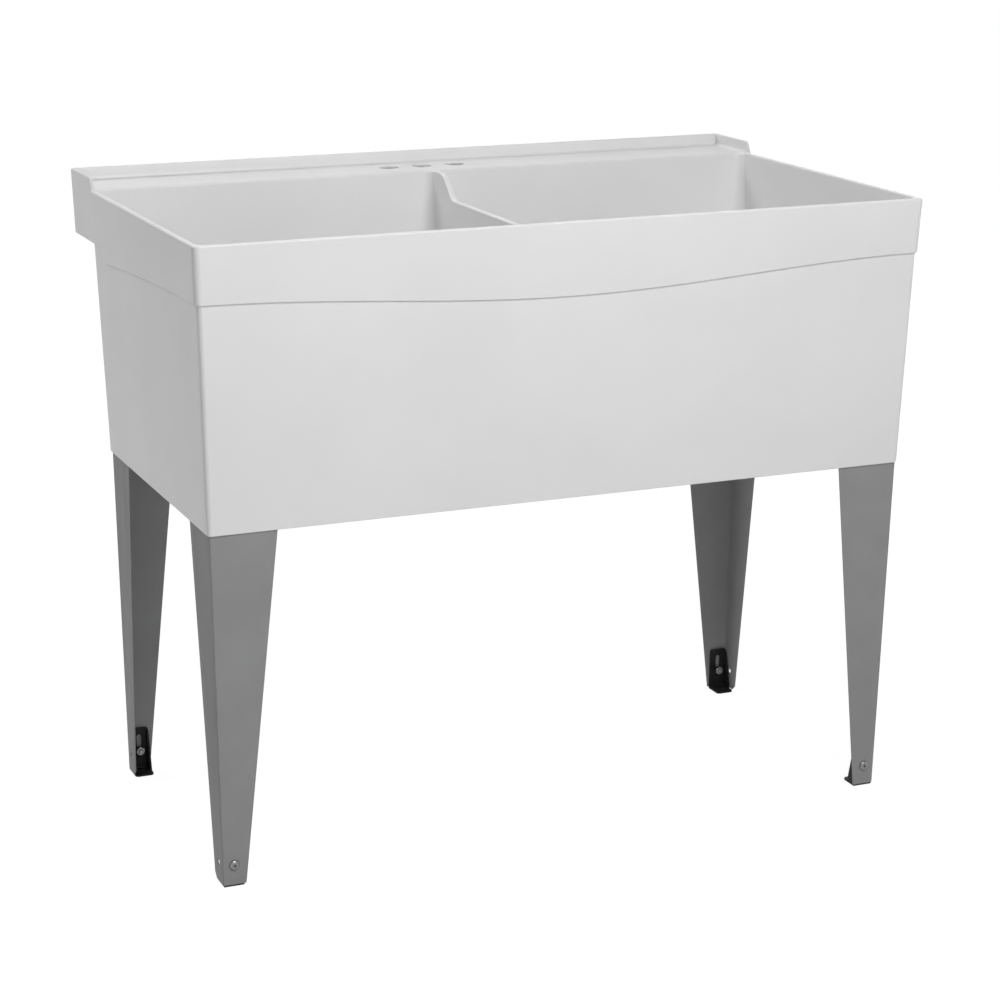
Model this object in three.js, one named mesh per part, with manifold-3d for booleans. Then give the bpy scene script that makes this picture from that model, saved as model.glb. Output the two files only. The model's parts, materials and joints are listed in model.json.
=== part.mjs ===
// Utility laundry sink: a moulded twin tub with a faucet ledge, on four folded sheet-steel legs
// with levelling feet. Millimetres; X runs to the right, Y to the back and Z up, and the origin
// lies on the floor below the middle of the tub.

import * as THREE from 'three';
import { mergeVertices, toCreasedNormals } from 'three/addons/utils/BufferGeometryUtils.js';
import Module from 'manifold-3d';

// ---------------------------------------------------------------------------------------------
// Driving dimensions
// ---------------------------------------------------------------------------------------------

// Tub, outside
const width = 1016;
const depth = 609.6;
const height = 863.6;
const tubDepth = 368; // rim down to the lower edge of the skirt
const ledgeDepth = 91; // back wall of the tub to the back of the faucet ledge
const frontToeIn = 16.3; // how far the front wall leans in over the tub's depth
const backToeIn = 16.3;
const sideToeIn = 10.2;
const outerCornerRadius = 9.5;
const ledgeCornerRadius = 2.5;
const backCornerRadius = 5; // where the back wall meets the sides, under the ledge
const wall = 4.8;
const skirtWall = 2.3;
const skirtEdgeRounding = 1.1;

// Rim band, which hangs lower in the middle of the front and towards the back of each side
const bandProud = 2.8; // how far the band stands out from the wall below it
const bandCornerDepth = 74;
const bandFrontDepth = 97;
const bandSideDepth = 93;
const bandSideExponent = 1.9;
const bandSweepLength = 42; // where the side of the band sweeps up to the ledge
const bandSweepInset = 31; // from the end of the sweep to the back wall
const bandEdgeRounding = 1.2;
const bandFlare = 0.9; // how much more the band leans out than the walls, by its corner depth
const rimEdgeRadius = 2.5;
const rimInnerEdgeRadius = 1.5;

// Lip round the back of the ledge and its two ends
const lipRise = 17.6;
const lipThickness = 5;
const lipEdgeRadius = 2;
const lipBaseFillet = 5;
const lipReturnLength = 101; // level part of each end return
const lipDropLength = 16; // its drop to the rim

// Bowls
const rimWidth = 8; // band and wall together, at the top
const dividerThickness = 7;
const dividerDraft = 0.028;
const dividerDip = 32.8; // how far the divider lies below the rim
const dividerRampLength = 52; // its rise to the height of the deck
const dividerShelfLength = 38.5; // level part between the ramp and the deck
const dividerTopRounding = 2.2;
const dividerFrontFillet = 6;
const deckRollRadius = 4;
const bowlDepth = 324; // rim to the edge of the floor
const bowlShell = 4.2; // floor, and walls where they stand free
const bowlTopCornerRadius = 14;
const bowlFloorCornerRadius = 45;
const bowlFloorFillet = 40;
const floorFall = 12; // edge of the floor to the sump
const hollowHeadroom = 13; // hollow under the tub, above the floor fillets

// Faucet holes
const faucetHoleCount = 3;
const faucetHoleSpacing = 51;
const faucetHoleDiameter = 29;
const faucetHoleInset = 49.8; // from the back of the ledge

// Drains
const sumpRadius = 44;
const recessRadius = 36;
const recessDepth = 6;
const throatRadius = 21;
const throatDepth = 15;
const outletBore = 38;
const outletThreadDiameter = 48;
const outletLength = 46; // recess floor to the end of the outlet
const bossThickness = 5;
const gasketThickness = 2.2;
const tailpieceDiameter = 38.1;
const tailpieceWall = 1.5;
const tailpieceFlangeThickness = 2;
const tailpieceLength = 26;
const couplingNutAcross = 60;
const couplingNutHeight = 20;
const couplingNutFloor = 3.2;
const strainerThickness = 1.5;
const strainerHoleDiameter = 7;
const strainerHoleCount = 6;
const strainerHoleCircle = 26;
const stopperFlangeRadius = 30;
const stopperFlangeThickness = 3.2;
const stopperTaper = 1.6;
const stopperKnobRadius = 6;
const stopperKnobHeight = 13;

// Legs
const legSheet = 1.4;
const legBendRadius = 2.2;
const legTopInSocket = 38;
const legGroundGap = 3;
const frontFlangeAtFloor = 31;
const frontFlangeAtSkirt = 89;
const sideFlangeAtFloor = 35;
const sideFlangeAtSkirt = 88;
const sideFlangeChamfer = 7;
const frontLegToeInX = 8.7; // how far each leg's corner moves in from the skirt to the floor
const frontLegToeInY = 13.7;
const backLegToeInX = 6.1;
const backLegToeInY = 0.5;
const socketRib = 3;
const socketEndWall = 5;
const socketMouthInset = 4; // ribs end this far above the lower edge of the skirt

// Levelling feet and their fasteners
const footSheet = 2.7;
const footWidth = 27;
const footDepth = 31;
const footHeight = 65;
const footBendRadius = 5;
const footCornerRadius = 5;
const footGussetDepth = 19;
const footGussetTopDepth = 6;
const footTravel = 20;
const footHoleDiameter = 7;
const boltHeight = 30.5;
const boltDiameter = 6.3;
const boltHeadDiameter = 13.8;
const boltHeadHeight = 3.2;
const boltEndLength = 2; // past the nut
const nutAcross = 11.1;
const nutHeight = 5.4;
const washerThickness = 1.6;
const washerDiameter = 12;
const washerGap = 1.2;
const sideHoleDiameter = 6.8;
const sideHoleInset = 18.3; // from the leg's corner

// Clearances
const seat = 0.3; // between pieces that touch
const slide = 0.4; // beside a foot that slides
const play = 0.35; // round a bolt

// Facets
const cornerSteps = 6;
const filletSteps = 6;
const edgeSteps = 5;
const roundSteps = 16;
const drainSteps = 24;

// ---------------------------------------------------------------------------------------------
// Places that follow from them
// ---------------------------------------------------------------------------------------------

const past = 2; // how far a cutter runs past the face it cuts
const lap = 1; // how far joined forms run into each other
const rimZ = height - lipRise;
const skirtZ = rimZ - tubDepth;
const frontDraft = frontToeIn / tubDepth;
const backDraft = backToeIn / tubDepth;
const sideDraft = sideToeIn / tubDepth;
const frontY = -depth / 2;
const backY = depth / 2;
const bodyBackY = backY - ledgeDepth;
const bowlBackY = bodyBackY - wall;
const bowlFloorZ = rimZ - bowlDepth;
const filletTopZ = bowlFloorZ + bowlFloorFillet;
const hollowTopZ = filletTopZ + hollowHeadroom;
const sumpZ = bowlFloorZ - floorFall;
const recessZ = sumpZ - recessDepth;
const strainerLedgeZ = recessZ - throatDepth;
const outletEndZ = recessZ - outletLength;
const bowlMiddleX = (dividerThickness / 2 + width / 2 - rimWidth) / 2;
const drainY = (frontY + rimWidth + bowlBackY) / 2;
const legTopZ = skirtZ + legTopInSocket;
const socketTopZ = bowlFloorZ + bowlFloorFillet * 0.75;
const boltInset = legSheet + slide + footWidth / 2;

// ---------------------------------------------------------------------------------------------
// Solids
// ---------------------------------------------------------------------------------------------

const wasm = await Module();
wasm.setup();

function solid(geometry) {
  const bare = geometry.clone();
  bare.deleteAttribute('normal');
  bare.deleteAttribute('uv');
  const merged = mergeVertices(bare, 1e-4);
  return new wasm.Manifold(new wasm.Mesh({
    numProp: 3,
    vertProperties: new Float32Array(merged.attributes.position.array),
    triVerts: new Uint32Array(merged.index.array),
  }));
}

function join(...solids) {
  return solids.reduce((sum, next) => sum.add(next));
}

function cut(base, ...tools) {
  return tools.reduce((rest, tool) => rest.subtract(tool), base);
}

function surface(body) {
  const mesh = body.getMesh();
  const geometry = new THREE.BufferGeometry();
  geometry.setAttribute('position', new THREE.BufferAttribute(new Float32Array(mesh.vertProperties), 3));
  geometry.setIndex(new THREE.BufferAttribute(new Uint32Array(mesh.triVerts), 1));
  return geometry;
}

/** Closes rows of points into a solid's surface. Rows are sections; a loop of rows needs no caps. */
function skin(rows, looped = false) {
  const count = rows[0].length;
  const triangles = [];
  const last = looped ? rows.length : rows.length - 1;
  for (let row = 0; row < last; row++) {
    const here = row * count;
    const there = ((row + 1) % rows.length) * count;
    for (let i = 0; i < count; i++) {
      const next = (i + 1) % count;
      triangles.push(here + i, here + next, there + next);
      triangles.push(here + i, there + next, there + i);
    }
  }
  if (!looped) {
    triangles.push(...cap(rows[0], 0).reverse());
    triangles.push(...cap(rows.at(-1), (rows.length - 1) * count));
  }
  const points = rows.flat();
  const volume = signedVolume(points, triangles);
  const geometry = new THREE.BufferGeometry().setFromPoints(points);
  geometry.setIndex(volume < 0 ? triangles.reverse() : triangles);
  return geometry;
}

/** Triangles over one row, seen along the axis in which the row is flattest. */
function cap(row, offset) {
  const size = new THREE.Box3().setFromPoints(row).getSize(new THREE.Vector3());
  const flatY = size.y < size.z;
  const contour = row.map((p) => (flatY ? new THREE.Vector2(p.x, -p.z) : new THREE.Vector2(p.x, p.y)));
  const clockwise = THREE.ShapeUtils.isClockWise(contour);
  const faces = THREE.ShapeUtils.triangulateShape(clockwise ? contour.toReversed() : contour, []).flat();
  const indices = faces.map((i) => offset + (clockwise ? row.length - 1 - i : i));
  return clockwise ? indices.reverse() : indices;
}

function signedVolume(points, triangles) {
  let sum = 0;
  const normal = new THREE.Vector3();
  for (let t = 0; t < triangles.length; t += 3) {
    const [a, b, c] = triangles.slice(t, t + 3).map((i) => points[i]);
    sum += normal.crossVectors(b, c).dot(a);
  }
  return sum;
}

function loft(rings) {
  return solid(skin(rings));
}

function box(x0, x1, y0, y1, z0, z1) {
  const geometry = new THREE.BoxGeometry(x1 - x0, y1 - y0, z1 - z0);
  geometry.translate((x0 + x1) / 2, (y0 + y1) / 2, (z0 + z1) / 2);
  return solid(geometry);
}

/** A solid of revolution about Z from [radius, z] pairs. */
function turned(profile, steps) {
  const geometry = new THREE.LatheGeometry(profile.map(([r, z]) => new THREE.Vector2(r, z)), steps);
  return geometry.rotateX(Math.PI / 2);
}

/** A ring of revolution, whose profile closes on itself. */
function turnedRing(profile, steps) {
  return turned([...profile, profile[0]], steps);
}

function extruded(shape, length, curveSegments = cornerSteps) {
  return new THREE.ExtrudeGeometry(shape, { depth: length, bevelEnabled: false, curveSegments });
}

function circleHole(diameter) {
  return new THREE.Path().absarc(0, 0, diameter / 2, 0, 2 * Math.PI, true);
}

/** The same solid drawn in X and Y, turned so that its X, Y and Z run along the given axes. */
function turnedTo(geometry, xAxis, yAxis, zAxis) {
  return geometry.applyMatrix4(new THREE.Matrix4().makeBasis(xAxis, yAxis, zAxis));
}

const axisX = new THREE.Vector3(1, 0, 0);
const axisY = new THREE.Vector3(0, 1, 0);
const axisZ = new THREE.Vector3(0, 0, 1);

function steps(from, to, count) {
  return Array.from({ length: count + 1 }, (_, i) => from + ((to - from) * i) / count);
}

/**
 * Points round a rounded rectangle, anticlockwise from its front right corner. The stops are
 * shares of each straight side, in the order right, back, left, front.
 */
function outline(rect, frontRadius, backRadius = frontRadius, stops = [[], [], [], []]) {
  const corners = [
    [rect.right - frontRadius, rect.front + frontRadius, frontRadius],
    [rect.right - backRadius, rect.back - backRadius, backRadius],
    [rect.left + backRadius, rect.back - backRadius, backRadius],
    [rect.left + frontRadius, rect.front + frontRadius, frontRadius],
  ];
  const arcs = corners.map(([x, y, radius], i) => steps((i - 1) * 90, i * 90, cornerSteps).map((angle) => {
    const turn = THREE.MathUtils.degToRad(angle);
    return new THREE.Vector2(x + radius * Math.cos(turn), y + radius * Math.sin(turn));
  }));
  return arcs.flatMap((arc, i) => {
    const end = arc.at(-1);
    const start = arcs[(i + 1) % arcs.length][0];
    return [...arc, ...stops[i].map((share) => end.clone().lerp(start, share))];
  });
}

/** As many points as outline gives without stops, evenly round a circle. */
function circleOutline(x, y, radius) {
  const count = 4 * (cornerSteps + 1);
  return Array.from({ length: count }, (_, i) => {
    const turn = ((i + 0.5) / count) * 2 * Math.PI - Math.PI / 2;
    return new THREE.Vector2(x + radius * Math.cos(turn), y + radius * Math.sin(turn));
  });
}

function level(points, z) {
  return points.map((p) => new THREE.Vector3(p.x, p.y, z));
}

// ---------------------------------------------------------------------------------------------
// Tub
// ---------------------------------------------------------------------------------------------

/** The tub's full outline at a height, over the band and the ledge. */
function bandRect(z, inset) {
  const flare = THREE.MathUtils.clamp((bandFlare * (rimZ - z)) / bandCornerDepth, 0, bandFlare);
  const half = width / 2 - leanIn(sideDraft, z) - flare - inset;
  const front = frontY + leanIn(frontDraft, z) + flare + inset;
  return { left: -half, right: half, front, back: backY - inset };
}

/** How far a draft moves a wall in at a height. */
function leanIn(draft, z) {
  return draft * Math.max(rimZ - z, 0);
}

/** The outline of the walls below the band. */
function bodyRect(z, inset) {
  const half = width / 2 - bandFlare - bandProud - leanIn(sideDraft, z) - inset;
  const front = frontY + bandFlare + bandProud + leanIn(frontDraft, z) + inset;
  return { left: -half, right: half, front, back: bodyBackY - leanIn(backDraft, z) - inset };
}

function bodyRing(z, inset) {
  const frontRadius = outerCornerRadius - bandProud - inset;
  return level(outline(bodyRect(z, inset), frontRadius, backCornerRadius - inset), z);
}

function frontBandEdge(x) {
  const middle = (bandCornerDepth + bandFrontDepth) / 2;
  const swing = (bandFrontDepth - bandCornerDepth) / 2;
  return rimZ - middle - swing * Math.cos((2 * Math.PI * x) / width);
}

function sideBandEdge(y) {
  const sweepEnd = bodyBackY - bandSweepInset;
  const sweepStart = sweepEnd - bandSweepLength;
  if (y > sweepEnd) {
    return rimZ - bandCornerDepth;
  }
  if (y > sweepStart) {
    const share = (y - sweepStart) / bandSweepLength;
    return rimZ - bandSideDepth + (bandSideDepth - bandCornerDepth) * Math.sin((share * Math.PI) / 2);
  }
  const share = (y - frontY) / (sweepStart - frontY);
  return rimZ - bandCornerDepth - (bandSideDepth - bandCornerDepth) * share ** bandSideExponent;
}

function bandEdge(x, y) {
  const onFront = y < frontY + outerCornerRadius / 2;
  return onFront ? frontBandEdge(x) : sideBandEdge(y);
}

/** 1 where the lip stands at its full height, 0 along the plain rim. */
function lipShare(y) {
  const levelFrom = backY - lipReturnLength;
  return THREE.MathUtils.smoothstep(y, levelFrom - lipDropLength, levelFrom);
}

/** Where the straight sides of the band need points, as shares of their length. */
function bandStops() {
  const start = frontY + outerCornerRadius;
  const end = backY - ledgeCornerRadius;
  const sweepEnd = bodyBackY - bandSweepInset;
  const sweepStart = sweepEnd - bandSweepLength;
  const dropStart = backY - lipReturnLength - lipDropLength;
  const ys = [
    ...steps(start, sweepStart, 9).slice(1, -1),
    ...steps(sweepStart, sweepEnd, 5),
    ...steps(dropStart, backY - lipReturnLength, 6),
  ];
  const side = ys.map((y) => (y - start) / (end - start));
  const front = steps(0, 1, 24).slice(1, -1);
  return [side, [], side.map((share) => 1 - share).toReversed(), front];
}

/** The band and the lip in one: a section swept once round the tub. */
function bandAndLip() {
  const stops = bandStops();
  const radius = (outer, inset) => Math.max(outer - inset, seat);
  const at = (z, inset) => outline(
    bandRect(z, inset),
    radius(outerCornerRadius, inset),
    radius(ledgeCornerRadius, inset),
    stops,
  );
  const rim = at(rimZ, 0);
  return solid(skin(rim.map((station, i) => {
    const point = ([inset, z]) => {
      const p = at(z, inset)[i];
      return new THREE.Vector3(p.x, p.y, z);
    };
    return bandSection(bandEdge(station.x, station.y), lipShare(station.y)).map(point);
  }), true));
}

/** [inset, z] pairs round the band's section, from its lower outer edge. */
function bandSection(edgeZ, share) {
  const topZ = rimZ + lipRise * share;
  const outer = rimEdgeRadius;
  const inner = lipEdgeRadius;
  const corner = 1 - Math.SQRT1_2;
  const fillet = Math.max(lipBaseFillet * share, seat);
  const filletTopZ = Math.min(rimZ + fillet - 0.05, topZ - inner - seat);
  return [
    [bandEdgeRounding, edgeZ],
    [0, edgeZ + bandEdgeRounding],
    [0, topZ - outer],
    [outer * corner, topZ - outer * corner],
    [outer, topZ],
    [lipThickness - inner, topZ],
    [lipThickness - inner * corner, topZ - inner * corner],
    [lipThickness, topZ - inner],
    [lipThickness, filletTopZ],
    [lipThickness + fillet * corner, filletTopZ - fillet * (1 - corner)],
    [lipThickness + fillet, filletTopZ - fillet],
    [lipThickness + fillet, rimZ - wall + lap],
    [lipThickness, rimZ - wall + lap],
    [lipThickness, edgeZ],
  ];
}

function bodyBlock() {
  return loft([
    bodyRing(skirtZ, skirtEdgeRounding),
    bodyRing(skirtZ + skirtEdgeRounding, 0),
    bodyRing(rimZ, 0),
  ]);
}

function underHollow() {
  return loft([bodyRing(skirtZ - past, skirtWall), bodyRing(hollowTopZ, skirtWall)]);
}

function deck() {
  const half = width / 2 - lipThickness + lap;
  return box(-half, half, bodyBackY - lap, backY - lipThickness + lap, rimZ - wall, rimZ);
}

/** How far an edge of the given radius has rounded away at a depth below the rim. */
function rounding(below, radius) {
  const rise = Math.max(radius - below, 0);
  return radius - Math.sqrt(radius ** 2 - rise ** 2);
}

/** The outline of one bowl's inside at a height, moved in by an inset. */
function bowlRect(side, z, inset) {
  const below = Math.max(rimZ - z, 0);
  const easy = rounding(below, rimInnerEdgeRadius);
  const inner = dividerThickness / 2 + leanIn(dividerDraft, z) + inset - easy;
  const outer = width / 2 - rimWidth - leanIn(sideDraft, z) - inset + easy;
  return {
    left: side > 0 ? inner : -outer,
    right: side > 0 ? outer : -inner,
    front: frontY + rimWidth + leanIn(frontDraft, z) + inset - easy,
    back: bowlBackY - leanIn(backDraft, z) - inset + rounding(below, deckRollRadius),
  };
}

function bowlCornerRadius(z) {
  const share = (rimZ - z) / (rimZ - filletTopZ);
  return THREE.MathUtils.lerp(bowlTopCornerRadius, bowlFloorCornerRadius, Math.min(Math.max(share, 0), 1));
}

/** One bowl's inside, or with a thickness the outside of its shell. */
function bowlForm(side, thickness = 0) {
  const ring = (z, inset, radius) => level(outline(bowlRect(side, z, inset), radius), z);
  const rings = [];
  if (thickness === 0) {
    rings.push(ring(rimZ + lipRise + past, 0, bowlTopCornerRadius));
    for (const angle of steps(90, 0, edgeSteps)) {
      const z = rimZ - deckRollRadius * (1 - Math.sin(THREE.MathUtils.degToRad(angle)));
      rings.push(ring(z, 0, bowlCornerRadius(z)));
    }
  } else {
    const z = rimZ - deckRollRadius;
    rings.push(ring(z, -thickness, bowlCornerRadius(z) + thickness));
  }
  for (const angle of steps(0, 90, filletSteps)) {
    const turn = THREE.MathUtils.degToRad(angle);
    const reach = bowlFloorFillet + thickness;
    const inset = bowlFloorFillet - reach * Math.cos(turn);
    const z = filletTopZ - reach * Math.sin(turn);
    rings.push(ring(z, inset, bowlFloorCornerRadius - inset));
  }
  rings.push(level(circleOutline(side * bowlMiddleX, drainY, sumpRadius), sumpZ - thickness));
  return loft(rings);
}

/** Height of the divider's top: level, then a ramp up to a shelf as high as the deck. */
function dividerTop(y, frontFace) {
  const rampEnd = bowlBackY - dividerShelfLength;
  const rise = THREE.MathUtils.smoothstep(y, rampEnd - dividerRampLength, rampEnd);
  const fillet = rounding(y - frontFace, dividerFrontFillet);
  return rimZ - dividerDip * (1 - rise) + Math.min(fillet, dividerFrontFillet);
}

/** Clears what stands above the divider and leaves its top rounded, up to the shelf's corners. */
function dividerCutter() {
  const reach = bowlTopCornerRadius * 2 + dividerThickness;
  const faceAt = (z) => frontY + rimWidth + leanIn(frontDraft, z) - slide / 2;
  const faceY = faceAt(rimZ - dividerDip);
  const rampEnd = bowlBackY - dividerShelfLength;
  const cornerStart = bowlBackY - bowlTopCornerRadius;
  const ys = [
    ...steps(faceY, faceY + dividerFrontFillet, 3),
    ...steps(rampEnd - dividerRampLength, rampEnd, 12),
    cornerStart,
  ];
  return loft(ys.map((y, i) => {
    const topZ = dividerTop(y, faceY);
    const roundness = 1 - THREE.MathUtils.smoothstep(y, rampEnd, cornerStart);
    const crownHeight = dividerTopRounding * roundness;
    const shoulderZ = topZ - crownHeight;
    const half = dividerThickness / 2 + leanIn(dividerDraft, shoulderZ);
    const crown = steps(0, 180, 2 * edgeSteps).map((angle) => {
      const turn = THREE.MathUtils.degToRad(angle);
      return [half * Math.cos(turn), shoulderZ + crownHeight * Math.sin(turn)];
    });
    const section = [
      [-reach, rimZ + past],
      [-reach, shoulderZ],
      ...crown.toReversed(),
      [reach, shoulderZ],
      [reach, rimZ + past],
    ];
    return section.map(([x, z]) => new THREE.Vector3(x, i === 0 ? faceAt(z) : y, z));
  }));
}

function faucetHoles() {
  const middle = (faucetHoleCount - 1) / 2;
  return Array.from({ length: faucetHoleCount }, (_, i) => {
    const radius = faucetHoleDiameter / 2;
    const hole = new THREE.CylinderGeometry(radius, radius, wall + 2 * past, drainSteps);
    hole.rotateX(Math.PI / 2);
    hole.translate((i - middle) * faucetHoleSpacing, backY - faucetHoleInset, rimZ - wall / 2);
    return solid(hole);
  });
}

/** The moulded outlet under a bowl. */
function outletBoss(side) {
  const rootZ = recessZ - bossThickness;
  const radius = outletThreadDiameter / 2;
  const boss = turned([
    [0, outletEndZ],
    [radius, outletEndZ],
    [radius, rootZ - bossThickness],
    [radius + bossThickness, rootZ],
    [recessRadius + bossThickness, rootZ],
    [recessRadius + bossThickness, sumpZ - lap],
    [0, sumpZ - lap],
  ], drainSteps);
  return solid(boss.translate(side * bowlMiddleX, drainY, 0));
}

/** The way down from the sump: recess, throat and outlet bore. */
function drainCutter(side) {
  const way = turned([
    [0, outletEndZ - past],
    [outletBore / 2, outletEndZ - past],
    [outletBore / 2, strainerLedgeZ],
    [throatRadius, strainerLedgeZ],
    [throatRadius, recessZ],
    [recessRadius, recessZ],
    [recessRadius + lap, sumpZ + past],
    [0, sumpZ + past],
  ], drainSteps);
  return solid(way.translate(side * bowlMiddleX, drainY, 0));
}

function tubGeometry(legs) {
  const sides = [-1, 1];
  const shells = sides.map((side) => bowlForm(side, bowlShell));
  const outside = join(cut(bodyBlock(), underHollow()), ...shells, bandAndLip(), deck());
  const fitted = join(outside, ...legs.map((leg) => legSocket(leg)), ...sides.map(outletBoss));
  return surface(cut(
    fitted,
    ...sides.map((side) => bowlForm(side)),
    dividerCutter(),
    ...faucetHoles(),
    ...sides.map(drainCutter),
    ...legs.map((leg) => legSlot(leg)),
  ));
}

// ---------------------------------------------------------------------------------------------
// Legs
// ---------------------------------------------------------------------------------------------

const legs = [
  { name: 'front_left', x: -1, y: -1, toeInX: frontLegToeInX, toeInY: frontLegToeInY },
  { name: 'front_right', x: 1, y: -1, toeInX: frontLegToeInX, toeInY: frontLegToeInY },
  { name: 'back_left', x: -1, y: 1, toeInX: backLegToeInX, toeInY: backLegToeInY },
  { name: 'back_right', x: 1, y: 1, toeInX: backLegToeInX, toeInY: backLegToeInY },
];

/** The leg's outer corner at a height, as distances from the middle of the sink. */
function legCorner(leg, z) {
  const skirt = bodyRect(skirtZ, skirtWall + seat);
  const atSkirt = new THREE.Vector2(skirt.right, leg.y < 0 ? -skirt.front : skirt.back);
  const toeIn = new THREE.Vector2(leg.toeInX, leg.toeInY);
  return atSkirt.addScaledVector(toeIn, -(skirtZ - z) / skirtZ);
}

/** The folded section at a height, grown by a clearance all round. */
function legRing(leg, z, { outward = 0, inward = 0, longer = 0, chamfer = 0 } = {}) {
  const share = z / skirtZ;
  const corner = legCorner(leg, z);
  const along = THREE.MathUtils.lerp(frontFlangeAtFloor, frontFlangeAtSkirt, share) + longer;
  const back = THREE.MathUtils.lerp(sideFlangeAtFloor, sideFlangeAtSkirt, share) + longer - chamfer;
  const inner = legSheet + inward;
  const bend = (radius, from, to) => steps(from, to, 3).map((angle) => {
    const turn = THREE.MathUtils.degToRad(angle);
    return [legBendRadius + radius * Math.cos(turn), legBendRadius + radius * Math.sin(turn)];
  });
  const section = [
    [along, -outward],
    ...bend(legBendRadius + outward, 270, 180),
    [-outward, back],
    [inner, back],
    ...bend(Math.max(legBendRadius - inner, seat), 180, 270),
    [along, inner],
  ];
  return section.map(([u, v]) => new THREE.Vector3(leg.x * (corner.x - u), leg.y * (corner.y - v), z));
}

function legSlot(leg) {
  const fit = { outward: seat, inward: seat, longer: seat };
  return loft([skirtZ - past, legTopZ + seat].map((z) => legRing(leg, z, fit)));
}

function legSocket(leg) {
  const fit = { outward: seat + lap, inward: seat + socketRib, longer: seat + socketEndWall };
  return loft([skirtZ + socketMouthInset, socketTopZ].map((z) => legRing(leg, z, fit)));
}

function cylinderAlong(axis, diameter, length, x, y, z) {
  const geometry = new THREE.CylinderGeometry(diameter / 2, diameter / 2, length, roundSteps);
  if (axis === axisX) {
    geometry.rotateZ(Math.PI / 2);
  }
  return solid(geometry.translate(x, y, z));
}

function legGeometry(leg) {
  const chamferTopZ = legGroundGap + sideFlangeChamfer;
  const blank = loft([
    legRing(leg, legGroundGap, { chamfer: sideFlangeChamfer }),
    legRing(leg, chamferTopZ),
    legRing(leg, legTopZ),
  ]);
  const corner = legCorner(leg, boltHeight);
  const boltX = leg.x * (legCorner(leg, 0).x - boltInset);
  const sideY = leg.y * (corner.y - sideHoleInset);
  return surface(cut(
    blank,
    cylinderAlong(axisY, boltDiameter + 2 * play, 4 * past, boltX, leg.y * corner.y, boltHeight),
    cylinderAlong(axisX, sideHoleDiameter, 4 * past, leg.x * corner.x, sideY, boltHeight),
  ));
}

// ---------------------------------------------------------------------------------------------
// Levelling feet and fasteners, drawn with Y running inwards through the leg's flange
// ---------------------------------------------------------------------------------------------

function roundedRect(x0, x1, y0, y1, radius) {
  const rect = { left: x0, right: x1, front: y0, back: y1 };
  return new THREE.Shape(outline(rect, radius));
}

/** A folded plate: slotted back, base with a hole, and a tapered wing on one side. */
function footGeometry(lean) {
  const half = footWidth / 2;
  const fold = new THREE.Shape();
  fold.moveTo(0, footHeight);
  fold.absarc(footBendRadius, footBendRadius, footBendRadius, Math.PI, 1.5 * Math.PI, false);
  fold.lineTo(footDepth, 0);
  fold.lineTo(footDepth, footSheet);
  fold.absarc(footBendRadius, footBendRadius, footBendRadius - footSheet, 1.5 * Math.PI, Math.PI, true);
  fold.lineTo(footSheet, footHeight);
  const strip = turnedTo(extruded(fold, footWidth), axisY, axisZ, axisX).translate(-half, 0, 0);

  const gusset = new THREE.Shape();
  gusset.moveTo(lap, footBendRadius);
  gusset.lineTo(footBendRadius, lap);
  gusset.lineTo(footGussetDepth, lap);
  gusset.lineTo(footGussetDepth, footSheet + lap);
  gusset.lineTo(footGussetTopDepth, footHeight - footCornerRadius);
  gusset.lineTo(lap, footHeight - footCornerRadius);
  const wing = turnedTo(extruded(gusset, footSheet), axisY, axisZ, axisX).translate(-half, 0, 0);

  const front = roundedRect(-half, half, -past - footCornerRadius, footHeight, footCornerRadius);
  const frontTrim = turnedTo(extruded(front, footDepth + 2 * past), axisX, axisZ, axisY.clone().negate());
  const plan = roundedRect(-half, half, -past - footCornerRadius, footDepth, footCornerRadius);
  const planTrim = extruded(plan, footHeight + 2 * past).translate(0, 0, -past);

  const slotHalf = boltDiameter / 2 + play;
  const slotShape = new THREE.Shape();
  slotShape.absarc(0, boltHeight, slotHalf, Math.PI, 2 * Math.PI, false);
  slotShape.absarc(0, boltHeight + footTravel + slide, slotHalf, 0, Math.PI, false);
  const slot = turnedTo(extruded(slotShape, footSheet + 2 * past), axisX, axisZ, axisY.clone().negate());
  const hole = new THREE.CylinderGeometry(footHoleDiameter / 2, footHoleDiameter / 2, 4 * past, roundSteps);
  hole.rotateX(Math.PI / 2).translate(0, footDepth / 2 + lap, 0);

  const plate = join(solid(strip), solid(wing))
    .intersect(solid(frontTrim.translate(0, footDepth + past, 0)))
    .intersect(solid(planTrim));
  const foot = surface(cut(plate, solid(slot.translate(0, footSheet + past, 0)), solid(hole)));
  const shear = new THREE.Matrix4().set(1, 0, 0, 0, 0, 1, -lean, 0, 0, 0, 1, 0, 0, 0, 0, 1);
  return foot.applyMatrix4(shear);
}

/** Truss-head bolt: the head's flat face is at Y = 0 and the shank runs along +Y. */
function boltGeometry(shankLength) {
  const head = boltHeadDiameter / 2;
  const shank = boltDiameter / 2;
  const bolt = turned([
    [0, -boltHeadHeight],
    [head * 0.45, -boltHeadHeight * 0.9],
    [head * 0.8, -boltHeadHeight * 0.55],
    [head, -boltHeadHeight * 0.15],
    [head, 0],
    [shank, 0],
    [shank, shankLength - lap / 2],
    [shank - lap / 2, shankLength],
    [0, shankLength],
  ], roundSteps);
  return bolt.rotateX(-Math.PI / 2);
}

function nutGeometry() {
  const corner = nutAcross / 2 / Math.cos(Math.PI / 6);
  const hexagon = new THREE.Shape(steps(0, 300, 5).map((angle) => {
    const turn = THREE.MathUtils.degToRad(angle);
    return new THREE.Vector2(corner * Math.cos(turn), corner * Math.sin(turn));
  }));
  hexagon.holes.push(circleHole(boltDiameter + 2 * play));
  return extruded(hexagon, nutHeight).rotateX(-Math.PI / 2);
}

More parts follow.
